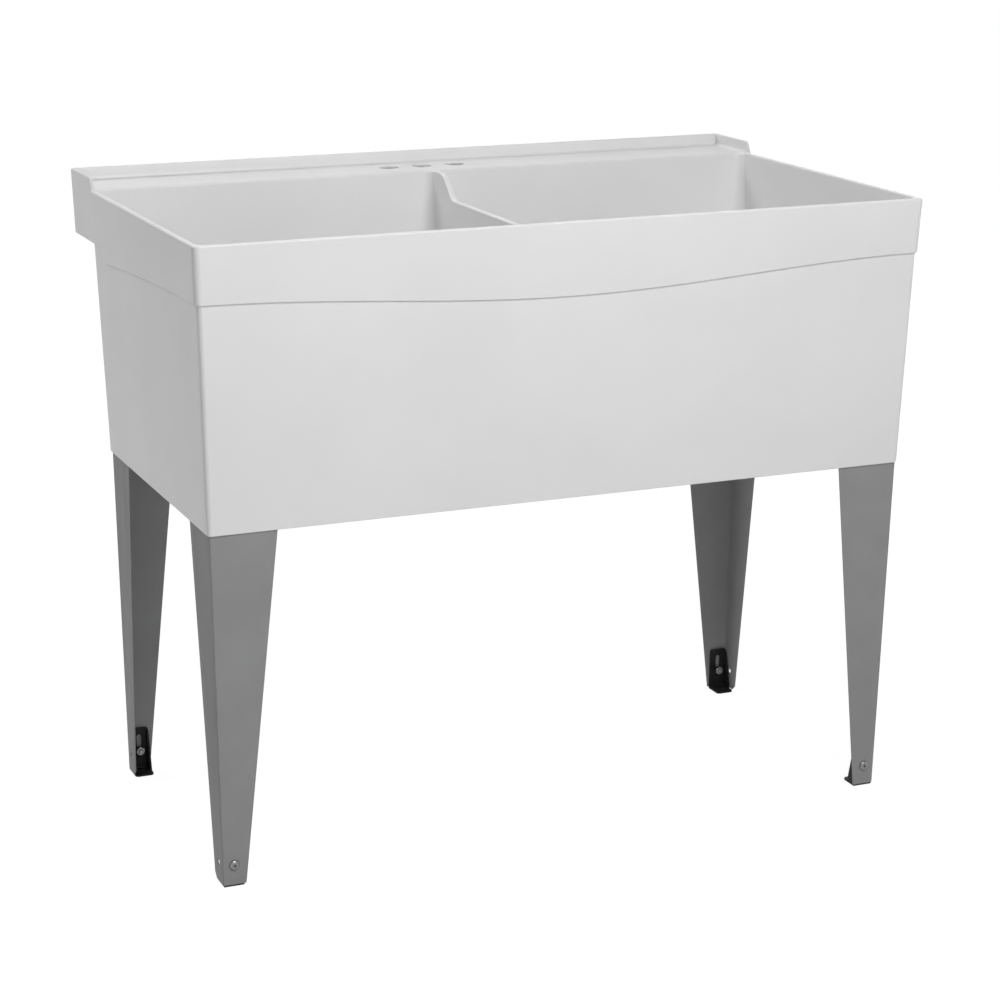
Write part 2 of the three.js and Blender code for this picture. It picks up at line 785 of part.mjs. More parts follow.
/** A split ring. */
function washerGeometry() {
  const outer = washerDiameter / 2;
  const inner = boltDiameter / 2 + play;
  const open = washerGap / washerDiameter;
  const ring = new THREE.Shape();
  ring.absarc(0, 0, outer, open, 2 * Math.PI - open, false);
  ring.absarc(0, 0, inner, 2 * Math.PI - open, open, true);
  return extruded(ring, washerThickness, roundSteps).rotateX(-Math.PI / 2);
}

// ---------------------------------------------------------------------------------------------
// Drain fittings, drawn about their own axis at their own height
// ---------------------------------------------------------------------------------------------

function stopperGeometry() {
  const body = throatRadius - slide;
  const tipZ = strainerLedgeZ + strainerThickness + 2 * seat + lap;
  const underZ = recessZ + seat;
  const topZ = underZ + stopperFlangeThickness;
  return turned([
    [0, tipZ],
    [body - stopperTaper, tipZ],
    [body, underZ],
    [stopperFlangeRadius, underZ],
    [stopperFlangeRadius, topZ - lap],
    [stopperFlangeRadius - lap, topZ],
    [stopperKnobRadius * 0.6, topZ + lap],
    [stopperKnobRadius * 0.6, topZ + stopperKnobHeight * 0.55],
    [stopperKnobRadius, topZ + stopperKnobHeight * 0.7],
    [stopperKnobRadius * 0.8, topZ + stopperKnobHeight * 0.93],
    [0, topZ + stopperKnobHeight],
  ], drainSteps);
}

function strainerGeometry() {
  const disc = new THREE.Shape().absarc(0, 0, throatRadius - seat, 0, 2 * Math.PI, false);
  disc.holes.push(circleHole(strainerHoleDiameter));
  for (let i = 0; i < strainerHoleCount; i++) {
    const turn = (i / strainerHoleCount) * 2 * Math.PI;
    const x = (strainerHoleCircle / 2) * Math.cos(turn);
    const y = (strainerHoleCircle / 2) * Math.sin(turn);
    disc.holes.push(new THREE.Path().absarc(x, y, strainerHoleDiameter / 2, 0, 2 * Math.PI, true));
  }
  return extruded(disc, strainerThickness, roundSteps / 2).translate(0, 0, strainerLedgeZ + seat);
}

const gasketTopZ = outletEndZ - seat;
const tailpieceTopZ = gasketTopZ - gasketThickness - seat;
const tailpieceFlangeZ = tailpieceTopZ - tailpieceFlangeThickness;
const couplingSeatZ = tailpieceFlangeZ - seat;
const threadRadius = outletThreadDiameter / 2;

function gasketGeometry() {
  const inner = outletBore / 2;
  return turnedRing([
    [inner, gasketTopZ - gasketThickness],
    [threadRadius - slide, gasketTopZ - gasketThickness],
    [threadRadius - slide, gasketTopZ],
    [inner, gasketTopZ],
  ], drainSteps);
}

function tailpieceGeometry() {
  const outer = tailpieceDiameter / 2;
  const inner = outer - tailpieceWall;
  return turnedRing([
    [inner, tailpieceTopZ - tailpieceLength],
    [outer, tailpieceTopZ - tailpieceLength],
    [outer, tailpieceFlangeZ],
    [threadRadius - slide, tailpieceFlangeZ],
    [threadRadius - slide, tailpieceTopZ],
    [inner, tailpieceTopZ],
  ], drainSteps);
}

function couplingNutGeometry() {
  const corner = couplingNutAcross / 2 / Math.cos(Math.PI / 6);
  const underZ = couplingSeatZ - couplingNutFloor;
  const hexagon = new THREE.Shape(steps(0, 300, 5).map((angle) => {
    const turn = THREE.MathUtils.degToRad(angle);
    return new THREE.Vector2(corner * Math.cos(turn), corner * Math.sin(turn));
  }));
  const bore = turned([
    [0, underZ - past],
    [tailpieceDiameter / 2 + seat, underZ - past],
    [tailpieceDiameter / 2 + seat, couplingSeatZ],
    [threadRadius + seat, couplingSeatZ],
    [threadRadius + seat, underZ + couplingNutHeight + past],
    [0, underZ + couplingNutHeight + past],
  ], drainSteps);
  return surface(cut(solid(extruded(hexagon, couplingNutHeight).translate(0, 0, underZ)), solid(bore)));
}

// ---------------------------------------------------------------------------------------------
// Materials and assembly
// ---------------------------------------------------------------------------------------------

function material(color, roughness, metalness) {
  return () => new THREE.MeshStandardMaterial({ color, roughness, metalness });
}

const mouldedWhite = material(0xdedddf, 0.35, 0);
const greyEnamel = material(0x848484, 0.5, 0.1);
const blackEnamel = material(0x242426, 0.5, 0.1);
const zinc = material(0xb4b6b8, 0.3, 1);
const blackRubber = material(0x1b1b1b, 0.8, 0);
const stainless = material(0xc4c6c8, 0.3, 1);
const whitePlastic = material(0xe6e6e2, 0.4, 0);

function piece(name, geometry, finish) {
  const mesh = new THREE.Mesh(toCreasedNormals(geometry, Math.PI / 6), finish());
  mesh.name = name;
  return mesh;
}

/** Foot, bolt, washer and nut at the lower end of a leg. */
function footGroup(leg) {
  const corner = legCorner(leg, 0);
  const lean = leg.toeInY / skirtZ;
  const group = new THREE.Group();
  group.position.set(leg.x * (corner.x - boltInset), leg.y * corner.y, 0);
  group.rotation.z = leg.y < 0 ? 0 : Math.PI;

  const foot = piece(`foot_${leg.name}`, footGeometry(lean), blackEnamel);
  foot.position.y = legSheet + seat;

  const footInnerY = legSheet + seat + footSheet;
  const washerY = footInnerY + seat;
  const nutY = washerY + washerThickness + seat;
  const fasteners = new THREE.Group();
  fasteners.position.set(0, -lean * boltHeight, boltHeight);
  fasteners.rotation.x = Math.atan(lean);
  const bolt = piece(`foot_bolt_${leg.name}`, boltGeometry(nutY + nutHeight + boltEndLength + seat), zinc);
  bolt.position.y = -seat;
  const washer = piece(`foot_washer_${leg.name}`, washerGeometry(), zinc);
  washer.position.y = washerY;
  const nut = piece(`foot_nut_${leg.name}`, nutGeometry(), zinc);
  nut.position.y = nutY;
  fasteners.add(bolt, washer, nut);
  group.add(foot, fasteners);
  return group;
}

function drainGroup(side, name) {
  const group = new THREE.Group();
  group.position.set(side * bowlMiddleX, drainY, 0);
  group.add(
    piece(`stopper_${name}`, stopperGeometry(), blackRubber),
    piece(`drain_strainer_${name}`, strainerGeometry(), stainless),
    piece(`drain_gasket_${name}`, gasketGeometry(), blackRubber),
    piece(`tailpiece_${name}`, tailpieceGeometry(), whitePlastic),
    piece(`coupling_nut_${name}`, couplingNutGeometry(), whitePlastic),
  );
  return group;
}

const sink = new THREE.Group();
sink.name = 'utility_laundry_sink';
sink.add(piece('tub', tubGeometry(legs), mouldedWhite));
for (const leg of legs) {
  sink.add(piece(`leg_${leg.name}`, legGeometry(leg), greyEnamel));
  sink.add(footGroup(leg));
}
sink.add(drainGroup(-1, 'left'), drainGroup(1, 'right'));

export default sink;
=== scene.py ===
# %% [markdown]
# # A twin laundry tub on folded-steel legs
# The object is a free-standing utility sink: one white moulding with two bowls, four tapered
# steel legs pushed into its corners, and a slotted levelling foot bolted inside each leg.
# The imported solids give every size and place, so this lesson spends its time on the looks.

import json
import math

import bmesh
import bpy
from mathutils import Matrix, Vector


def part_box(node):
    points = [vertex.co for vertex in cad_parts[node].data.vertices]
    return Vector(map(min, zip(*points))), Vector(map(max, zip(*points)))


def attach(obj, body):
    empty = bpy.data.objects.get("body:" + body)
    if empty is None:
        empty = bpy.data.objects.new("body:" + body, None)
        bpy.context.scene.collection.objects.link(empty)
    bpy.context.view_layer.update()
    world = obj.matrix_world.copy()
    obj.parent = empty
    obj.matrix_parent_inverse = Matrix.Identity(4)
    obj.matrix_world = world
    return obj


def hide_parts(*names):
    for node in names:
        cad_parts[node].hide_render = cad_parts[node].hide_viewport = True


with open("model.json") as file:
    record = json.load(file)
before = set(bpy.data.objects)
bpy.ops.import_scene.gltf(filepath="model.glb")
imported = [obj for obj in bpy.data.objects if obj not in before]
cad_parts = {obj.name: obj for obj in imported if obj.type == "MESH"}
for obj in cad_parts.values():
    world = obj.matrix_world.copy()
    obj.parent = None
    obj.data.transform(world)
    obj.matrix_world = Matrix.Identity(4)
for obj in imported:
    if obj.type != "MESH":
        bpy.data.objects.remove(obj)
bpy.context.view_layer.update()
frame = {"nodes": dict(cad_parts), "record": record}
corners = ("front_left", "front_right", "back_left", "back_right")
sides = ("left", "right")
MM = 0.001

# %% [markdown]
# ## The camera
# A product photographer stands well back with a long lens, so the tub's edges stay nearly
# parallel. The place and the lens below come from matching the tub's corners. The camera
# could be aimed with a constraint, but plain angles are easier to read and to repeat.

# %% Set the camera
camera_data = bpy.data.cameras.new("photographer")
SENSOR_WIDTH = 36.0
LENS = 93.96
LOOKS_DOWN = math.radians(15.072)
TURNS_RIGHT = math.radians(22.646)
camera_data.sensor_width = SENSOR_WIDTH
camera_data.lens = LENS
camera = bpy.data.objects.new("photographer", camera_data)
camera.location = (-1.35905, -3.29919, 1.36524)
camera.rotation_euler = (math.pi / 2 - LOOKS_DOWN, 0.0, -TURNS_RIGHT)
bpy.context.scene.collection.objects.link(camera)
bpy.context.scene.camera = camera
bpy.context.scene.view_settings.view_transform = "Standard"
print("camera at", tuple(round(value, 3) for value in camera.location))

# %% [markdown]
# ## Small helpers for node materials
# A material here is a shader with its even values set straight on its sockets, and a few
# nodes that vary colour, gloss and surface. A few helpers keep each recipe short: the first
# makes the material, the second adds a node and plugs in whatever it is given, and the rest
# are the nodes that come back in every recipe.


# %% Helpers for materials
def new_finish(name, even):
    """A material with its shader's even values set, ready for nodes."""
    finish = bpy.data.materials.new(name)
    finish.use_nodes = True
    shader = finish.node_tree.nodes["Principled BSDF"]
    for socket, value in even.items():
        shader.inputs[socket].default_value = value
    return finish, finish.node_tree, shader


def add(tree, kind, plugs=None, **settings):
    """A node of that kind, with values or other nodes' outputs plugged into its sockets."""
    node = tree.nodes.new(kind)
    for setting, value in settings.items():
        setattr(node, setting, value)
    for socket, value in (plugs or {}).items():
        if isinstance(value, bpy.types.NodeSocket):
            tree.links.new(value, node.inputs[socket])
        else:
            node.inputs[socket].default_value = value
    return node


def place(tree, stretch=(1.0, 1.0, 1.0)):
    """Where a point is on the object, in metres, stretched along any axis."""
    where = add(tree, "ShaderNodeTexCoord").outputs["Object"]
    return add(tree, "ShaderNodeMapping", {"Vector": where, "Scale": stretch}).outputs[0]


def cloud(tree, where, scale, detail=2.0):
    """Soft noise from 0 to 1; scale is in features per metre."""
    sockets = {"Vector": where, "Scale": scale, "Detail": detail, "Roughness": 0.5}
    return add(tree, "ShaderNodeTexNoise", sockets).outputs[0]


def spread(tree, value, low, high, onto_low, onto_high):
    """Maps the range low..high of a value onto another range, and keeps it inside."""
    sockets = {"Value": value, 1: low, 2: high, 3: onto_low, 4: onto_high}
    return add(tree, "ShaderNodeMapRange", sockets, clamp=True).outputs[0]


def between(tree, share, first, second):
    """A colour mixed from two, where share 0 is the first one."""
    node = add(tree, "ShaderNodeMix", data_type="RGBA")
    for index, value in ((0, share), (6, first), (7, second)):
        if isinstance(value, bpy.types.NodeSocket):
            tree.links.new(value, node.inputs[index])
        elif index:
            node.inputs[index].default_value = (*value, 1.0)
        else:
            node.inputs[index].default_value = value
    return node.outputs[2]


def paint(shader, **onto):
    """Plugs outputs into the shader's sockets: colour, roughness or normal."""
    sockets = {"colour": "Base Color", "roughness": "Roughness", "normal": "Normal"}
    for what, value in onto.items():
        shader.id_data.links.new(value, shader.inputs[sockets[what]])


def relief(tree, height, strength, distance, under=None):
    """A bump from a height, on top of another bump."""
    sockets = {"Height": height, "Strength": strength, "Distance": distance}
    if under is not None:
        sockets["Normal"] = under
    return add(tree, "ShaderNodeBump", sockets).outputs[0]


def times(tree, first, second):
    """The product of two values."""
    return add(tree, "ShaderNodeMath", {0: first, 1: second}, operation="MULTIPLY").outputs[0]


RAYS = 6  # for the nodes that feel their surroundings


def edge_mask(tree, radius):
    """1 on an edge and 0 on a flat, from how far a rounded normal turns off the real one."""
    rounded = add(tree, "ShaderNodeBevel", {"Radius": radius}, samples=RAYS).outputs[0]
    real = add(tree, "ShaderNodeNewGeometry").outputs["Normal"]
    same = add(tree, "ShaderNodeVectorMath", {0: rounded, 1: real}, operation="DOT_PRODUCT")
    return spread(tree, same.outputs["Value"], 0.98, 0.8, 0.0, 1.0)


print("helpers ready")

# %% [markdown]
# ## Moulded white
# The tub is moulded in one piece from a filled plastic. Close up it is satin, with the fine
# grain of the mould, slow waves where the thick walls cooled, and a gloss that differs a
# little from place to place. A single white would look like paper, so two close whites are
# mixed by clouds, and the gloss and the surface get noise of their own. The gloss varies over
# whole hands' breadths and only by a few hundredths, because quicker changes look like stains.
# Tight inner corners are painted darker, as shade, where an Ambient Occlusion node finds little
# open room.

# %% Moulded white
white, tree, shader = new_finish("moulded_white", {"IOR": 1.5, "Specular IOR Level": 0.42})
where = place(tree)
CORNER_SHADE_REACH = 45 * MM
tone = spread(tree, cloud(tree, where, 5.0, 3.0), 0.35, 0.65, 0, 1)
speck = spread(tree, cloud(tree, where, 1600.0, 2.0), 0.35, 0.65, 0, 0.12)
shade = between(tree, tone, (0.79, 0.785, 0.79), (0.82, 0.814, 0.82))
grain = between(tree, speck, shade, (0.72, 0.715, 0.72))
hollow = {"Distance": CORNER_SHADE_REACH}
# Painted shade: the white turns grey in tight inner corners, where the AO node finds little room.
room = add(tree, "ShaderNodeAmbientOcclusion", hollow, samples=RAYS, only_local=True)
corner_shade = spread(tree, room.outputs["AO"], 0.62, 0.36, 0, 0.6)
gloss = spread(tree, cloud(tree, where, 12.0, 1.0), 0.2, 0.8, 0.30, 0.35)
waves = relief(tree, cloud(tree, where, 7.0, 1.0), 0.12, 0.004)
peel = relief(tree, cloud(tree, where, 900.0, 2.0), 0.10, 0.0004, waves)
corner_shaded = between(tree, corner_shade, grain, (0.52, 0.515, 0.51))
paint(shader, colour=corner_shaded, roughness=gloss, normal=peel)
print("finish:", white.name)

# %% [markdown]
# ## Grey enamel
# The legs are folded sheet steel with a baked grey enamel. It has a fine orange peel, a faint
# difference in gloss along the leg from the way the blank was rolled, and thin pale edges,
# partly wear where the enamel draws back and partly a painted highlight.

# %% Grey enamel
grey, tree, shader = new_finish("grey_enamel", {"IOR": 1.5, "Specular IOR Level": 0.12})
where = place(tree)
along_leg = (60.0, 60.0, 3.0)
drawn = cloud(tree, place(tree, along_leg), 1.0, 3.0)
tone = spread(tree, cloud(tree, where, 14.0, 3.0), 0.3, 0.7, 0, 1)
base = between(tree, tone, (0.286, 0.287, 0.291), (0.312, 0.313, 0.318))
broken = spread(tree, cloud(tree, where, 300.0), 0.4, 0.7, 0, 0.7)
# Pale edges: partly chipped enamel, partly a painted highlight along the sheet's edges.
nicks_and_edge_highlight = times(tree, edge_mask(tree, 1.2 * MM), broken)
worn_and_highlit_grey = between(tree, nicks_and_edge_highlight, base, (0.42, 0.42, 0.42))
sheen = spread(tree, drawn, 0.3, 0.7, 0.46, 0.6)
peel = relief(tree, cloud(tree, where, 700.0, 2.0), 0.12, 0.0003)
paint(shader, colour=worn_and_highlit_grey, roughness=sheen, normal=peel)
print("finish:", grey.name)

# %% [markdown]
# ## Black enamel
# The feet are stamped and dipped in black. The dip runs thick on the flats and thin on the
# edges, so the roughness wanders and the edges are a little browner and paler. Its mirror
# shine is kept low, because the white floor would turn it grey from low down.

# %% Black enamel
black, tree, shader = new_finish("black_enamel", {"IOR": 1.5, "Specular IOR Level": 0.06})
where = place(tree)
tone = spread(tree, cloud(tree, where, 60.0, 3.0), 0.3, 0.7, 0, 1)
base = between(tree, tone, (0.016, 0.016, 0.017), (0.028, 0.028, 0.030))
broken = spread(tree, cloud(tree, where, 420.0), 0.4, 0.7, 0, 0.6)
worn = times(tree, edge_mask(tree, 0.9 * MM), broken)
paint(
    shader,
    colour=between(tree, worn, base, (0.055, 0.052, 0.05)),
    roughness=spread(tree, cloud(tree, where, 180.0), 0.3, 0.7, 0.28, 0.5),
    normal=relief(tree, cloud(tree, where, 500.0), 0.2, 0.0003),
)
print("finish:", black.name)

# %% [markdown]
# ## Zinc plate
# Bolts, nuts and washers are steel with zinc on it. It is metal, so it shows the room more
# than any colour of its own, and a dark base keeps a white room from whitening it. Fine
# cloudy roughness keeps it from looking like chrome, and painted shade darkens it near the sheet.

# %% Zinc plate
zinc, tree, shader = new_finish("zinc", {"Metallic": 1.0})
where = place(tree)
RIM_SHADE_REACH = 4 * MM
tone = spread(tree, cloud(tree, where, 260.0, 3.0), 0.3, 0.7, 0, 1)
base = between(tree, tone, (0.17, 0.172, 0.178), (0.24, 0.24, 0.237))
# Painted shade: the zinc goes near black where the sheet or other metal is close, as at the head's
# rim.
close = add(tree, "ShaderNodeAmbientOcclusion", {"Distance": RIM_SHADE_REACH}, samples=RAYS)
rim_shade = spread(tree, close.outputs["AO"], 0.95, 0.6, 0, 1)
paint(
    shader,
    colour=between(tree, rim_shade, base, (0.03, 0.03, 0.032)),
    roughness=spread(tree, cloud(tree, where, 900.0), 0.3, 0.7, 0.22, 0.42),
    normal=relief(tree, cloud(tree, where, 1500.0), 0.15, 0.0002),
)
print("finish:", zinc.name)

# %% [markdown]
# ## Black rubber, brushed steel and white pipe plastic
# The drain's small pieces hide inside the bowls and under them. Rubber is dull with a dusty
# bloom, the strainer is brushed in one direction, and the pipe pieces are a plainer, duller
# plastic than the tub.

# %% Rubber, strainer steel and pipe plastic
rubber, tree, shader = new_finish("black_rubber", {"Specular IOR Level": 0.35})
where = place(tree)
bloom = spread(tree, cloud(tree, where, 70.0, 4.0), 0.4, 0.8, 0, 1)
paint(
    shader,
    colour=between(tree, bloom, (0.018, 0.018, 0.018), (0.05, 0.05, 0.049)),
    roughness=spread(tree, bloom, 0, 1, 0.6, 0.8),
    normal=relief(tree, cloud(tree, where, 1100.0), 0.25, 0.0003),
)

steel, tree, shader = new_finish("stainless", {"Metallic": 1.0})
across_brush = (40.0, 1500.0, 40.0)
brushed = cloud(tree, place(tree, across_brush), 1.0, 3.0)
tone = spread(tree, brushed, 0.3, 0.7, 0, 1)
paint(
    shader,
    colour=between(tree, tone, (0.56, 0.56, 0.57), (0.68, 0.68, 0.68)),
    roughness=spread(tree, brushed, 0.3, 0.7, 0.24, 0.4),
    normal=relief(tree, brushed, 0.15, 0.0002),
)

pipe, tree, shader = new_finish("white_plastic", {"Specular IOR Level": 0.4})
where = place(tree)
tone = spread(tree, cloud(tree, where, 40.0, 3.0), 0.3, 0.7, 0, 1)
paint(
    shader,
    colour=between(tree, tone, (0.74, 0.74, 0.72), (0.79, 0.79, 0.78)),
    roughness=spread(tree, cloud(tree, where, 200.0), 0.3, 0.7, 0.38, 0.52),
    normal=relief(tree, cloud(tree, where, 800.0), 0.1, 0.0003),
)
finishes = {
    "moulded_white": white,
    "grey_enamel": grey,
    "black_enamel": black,
    "zinc": zinc,
    "black_rubber": rubber,
    "stainless": steel,
    "white_plastic": pipe,
}
print("finishes:", sorted(finishes))

# %% [markdown]
# ## Dress every solid
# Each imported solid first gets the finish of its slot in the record. Pieces that deserve
# rounder edges or more detail are rebuilt further down and stand in for their solid.

# %% Give each solid its finish
slot_of = {row["node"]: row["material_slot"] for row in frame["record"]["subparts"]}
for node, solid in frame["nodes"].items():
    solid.data.materials.clear()
    solid.data.materials.append(finishes[slot_of[node]])
print("dressed", len(slot_of), "solids")

# %% [markdown]
# ## Helpers for pieces
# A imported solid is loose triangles, so a piece made from it starts as a welded copy. Every
# piece ends the same way: it gets its finish, smooth shading with sharp creases kept, and a
# body to ride on. Burrs and moulded edges are a live bevel, which is easy to tune by eye.


# %% Helpers for new pieces
WELD = 0.02 * MM


def welded(node):
    """A solid's shape as one closed mesh to work on."""
    shape = bmesh.new()
    shape.from_mesh(frame["nodes"][node].data)
    bmesh.ops.remove_doubles(shape, verts=shape.verts, dist=WELD)
    return shape


def finished(shape, name, body, node, sharp=35.0):
    """The worked shape as a piece that rides on a body and stands for a solid."""
    mesh = bpy.data.meshes.new(name)
    shape.to_mesh(mesh)
    shape.free()
    mesh.materials.append(finishes[slot_of[node]])
    mesh.shade_smooth()
    mesh.set_sharp_from_angle(angle=math.radians(sharp))
    piece = bpy.data.objects.new(name, mesh)
    bpy.context.scene.collection.objects.link(piece)
    even = piece.modifiers.new("even_normals", "WEIGHTED_NORMAL")
    even.keep_sharp = True
    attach(piece, body)
    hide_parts(node)
    print(name, len(mesh.polygons), "faces")
    return piece


def softened(piece, width, segments=2, angle=40.0):
    """A live bevel on every edge that is sharper than the angle, put before the normals."""
    bevel = piece.modifiers.new("soft_edges", "BEVEL")
    bevel.limit_method = "ANGLE"
    bevel.angle_limit = math.radians(angle)
    bevel.width = width
    bevel.segments = segments
    bevel.use_clamp_overlap = True
    piece.modifiers.move(len(piece.modifiers) - 1, 0)


# %% [markdown]
# ## The tub
# The moulding's walls, roll and lip are already right in the solid, so the tub is that solid
# with its points welded and its shading made smooth. Where two faces meet at more than a
# moulded radius, the edge stays sharp.

# %% The tub
finished(welded("tub"), "moulded_tub", "sink", "tub")

# %% [markdown]
# ## Where the fasteners sit
# Each foot hangs on one bolt through the leg's flange that faces front or back. The leg leans
# in a little, so the bolt leans with it. One matrix per corner turns a fastener drawn about
# the Y axis into its place: Y runs inwards, and 0 is the outer face of the leg. The bolt's own
# solid tells whether the matrix is right: its middle lies half its length in.

# %% The four seats
BOLT_HEIGHT = 30.5 * MM
BOLT_MIDDLE = 5.5 * MM
# How far the flange stands out sideways and to the front or back at the ground, and its lean.
FLANGE = {"front": (467.5, 268.5, 0.028661), "back": (470.1, 194.4, 0.001046)}
seats = {}
for corner in corners:
    end, side = corner.split("_")
    across, deep, lean = FLANGE[end]
    to_side = 1 if side == "right" else -1
    to_end = 1 if end == "back" else -1
    stand = Matrix.Translation((to_side * across * MM, to_end * deep * MM, 0))
    turn = Matrix.Rotation(math.pi if end == "back" else 0.0, 4, "Z")
    up = Matrix.Translation((0, -lean * BOLT_HEIGHT, BOLT_HEIGHT))
    seats[corner] = stand @ turn @ up @ Matrix.Rotation(math.atan(lean), 4, "X")
    low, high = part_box("foot_bolt_" + corner)
    miss = (low + high) / 2 - seats[corner] @ Vector((0, BOLT_MIDDLE, 0))
    print(corner, "bolt middle off by mm", round(miss.length / MM, 1))

# %% [markdown]
# ## Legs and feet
# A leg is one folded blank and a foot is one stamping. Sheared sheet has a small burr rolled
# over by the enamel, so every edge gets a narrow live bevel that catches a line of light.
# The spare hole in a front leg's side flange is opened a little, so that light shows through
# it. A foot's sole shows as a black line under the leg, so the lower half of its bend is
# drawn out until it lies below the end of the leg's sheet. Both are a plain scale of a few
# points, in a space whose middle is put where those points should spread from.

# %% Legs and feet
SIDE_HOLE = Vector((0.0, -0.25107, 0.0305))
SIDE_HOLE_RADIUS = 3.4 * MM
HOLE_GROWTH = 1.3
LEG_EDGE = 0.25 * MM
FOOT_EDGE = 0.45 * MM
BEND_MIDDLE = Vector((6.7, 5.0))  # from the leg's outer face and from the ground, in mm
BEND_INSIDE = 4.5  # between the bend's inner and outer radius
BEND_FLOOR = Vector((6.3, 2.7))  # the bend's points nearer and lower than this are drawn out
LIP = 1.77 * MM  # that far outside the leg nothing moves, and the rest goes halfway there


def hole_rim(leg):
    """The points round a front leg's side hole."""
    flat = Vector((0, 1, 1))
    reach = {vert: (vert.co * flat - SIDE_HOLE).length for vert in leg.verts}
    return [vert for vert in leg.verts if abs(reach[vert] - SIDE_HOLE_RADIUS) < 0.1 * MM]


def low_bend(foot, from_ground):
    """The points of a foot's outer bend that lie lower than the leg's end."""
    points = []
    for vert in foot.verts:
        at = (from_ground @ vert.co / MM).yz
        if at.x < BEND_FLOOR.x and at.y < BEND_FLOOR.y and (at - BEND_MIDDLE).length > BEND_INSIDE:
            points.append(vert)
    return points


for corner in corners:
    node = "leg_" + corner
    leg = welded(node)
    if corner.startswith("front"):
        rim = hole_rim(leg)
        growth = (1, HOLE_GROWTH, HOLE_GROWTH)
        bmesh.ops.scale(leg, vec=growth, verts=rim, space=Matrix.Translation(-SIDE_HOLE))
        print(corner, "side hole's rim:", len(rim), "points")
    softened(finished(leg, "steel_" + node, "sink", node), LEG_EDGE)
    node = "foot_" + corner
    foot = welded(node)
    from_ground = (seats[corner] @ Matrix.Translation((0, 0, -BOLT_HEIGHT))).inverted()
    bend = low_bend(foot, from_ground)
    from_lip = Matrix.Translation((0, LIP, 0)) @ from_ground
    bmesh.ops.scale(foot, vec=(1, 0.5, 1), verts=bend, space=from_lip)
    print(corner, "low bend of the foot:", len(bend), "points")
    softened(finished(foot, "levelling_" + node, node, node), FOOT_EDGE, 3)

# %% [markdown]
# ## Helpers for turned shapes
# Bolts and nuts are skins over rings: circles drawn one behind the other along the bolt's
# axis, then bridged. A spin would make the same shape, but rings of the same count can also
# be pulled into a hexagon or meet the rim of a grid.


# %% Helpers for turned shapes
def loop_of(shape, sides, radius, along, swell=None):
    """A closed ring of edges about the Y axis, at a distance along it."""
    face_up = Matrix.Translation((0, along, 0)) @ Matrix.Rotation(math.pi / 2, 4, "X")
    made = bmesh.ops.create_circle(shape, segments=sides, radius=radius, matrix=face_up)["verts"]
    if swell:
        for vert in made:
            vert.co = swell(vert.co)
    return [edge for edge in shape.edges if all(vert in made for vert in edge.verts)]


def skinned(shape, rings):
    """Faces between each ring and the next."""
    for here, there in zip(rings, rings[1:]):
        bmesh.ops.bridge_loops(shape, edges=here + there)


def turned_out(shape):
    """Welds what meets and points every face outwards."""
    bmesh.ops.remove_doubles(shape, verts=shape.verts, dist=0.01 * MM)
    bmesh.ops.recalc_face_normals(shape, faces=shape.faces)
    return shape


print("helpers for rings ready")

# %% [markdown]
# ## Truss-head bolts
# The bolt has a wide low dome with a cross recess, and a threaded shank. A cross can't be
# turned, so it starts as a small grid: the plus of faces in it is pushed in and drawn
# together, and the grid's rim is bridged to the first ring of the dome. The rest of the
# dome and the thread's crests and roots are rings.

# %% A bolt
BOLT_LENGTH = 14.1 * MM
HEAD_TOP = 3.15 * MM
PATCH = 3.0 * MM  # half the grid that the cross is pushed into
CROSS_DEPTH = 1.5 * MM
CROSS_WIDER = 1.25  # than a grid's cell
CROSS_TAPER = 0.72  # its floor's share of its mouth
SEAT = 0.3 * MM  # the head's flat clears the leg by this
# Radius and place along the bolt, in mm, from the cross to the neck.
DOME = (
    (3.9, -3.0), (4.9, -2.66), (5.8, -2.1), (6.5, -1.3),
    (6.85, -0.55), (6.9, -0.12), (6.75, 0.0), (3.1, 0.0),
)
THREAD_START = 4.0
THREAD_STEP = 0.6  # from a crest to a root, in mm
ROOT, CREST, POINT = 2.78, 3.12, 2.5


def bolt_shape(length):
    """A truss-head bolt about Y, head's flat at 0."""
    shape = bmesh.new()
    face_up = Matrix.Translation((0, -HEAD_TOP, 0)) @ Matrix.Rotation(math.pi / 2, 4, "X")
    grid = bmesh.ops.create_grid(
        shape, x_segments=7, y_segments=7, size=PATCH, matrix=face_up
    )["verts"]
    for vert in grid:
        for axis in (0, 2):
            if abs(vert.co[axis]) < 0.5 * MM:
                vert.co[axis] *= CROSS_WIDER
    plus = []
    for face in shape.faces:
        off_middle = [abs(face.calc_center_median()[axis]) for axis in (0, 2)]
        if min(off_middle) < 0.3 * MM and max(off_middle) < 2.3 * MM:
            plus.append(face)
    rim = [edge for edge in shape.edges if edge.is_boundary]
    pushed = bmesh.ops.extrude_face_region(shape, geom=plus)["geom"]
    floor_verts = [item for item in pushed if isinstance(item, bmesh.types.BMVert)]
    bmesh.ops.delete(shape, geom=plus, context="FACES")
    bmesh.ops.scale(shape, vec=(CROSS_TAPER, 1, CROSS_TAPER), verts=floor_verts)
    bmesh.ops.translate(shape, vec=(0, CROSS_DEPTH, 0), verts=floor_verts)
    count = len(rim)
    rings = [rim] + [loop_of(shape, count, radius * MM, along * MM) for radius, along in DOME]
    for turn in range(int((length / MM - THREAD_START - 0.2) / THREAD_STEP)):
        radius = CREST if turn % 2 else ROOT
        along = THREAD_START + THREAD_STEP * turn
        rings.append(loop_of(shape, count, radius * MM, along * MM))
    rings.append(loop_of(shape, count, POINT * MM, length))
    skinned(shape, rings)
    bmesh.ops.contextual_create(shape, geom=rings[-1])
    return turned_out(shape)


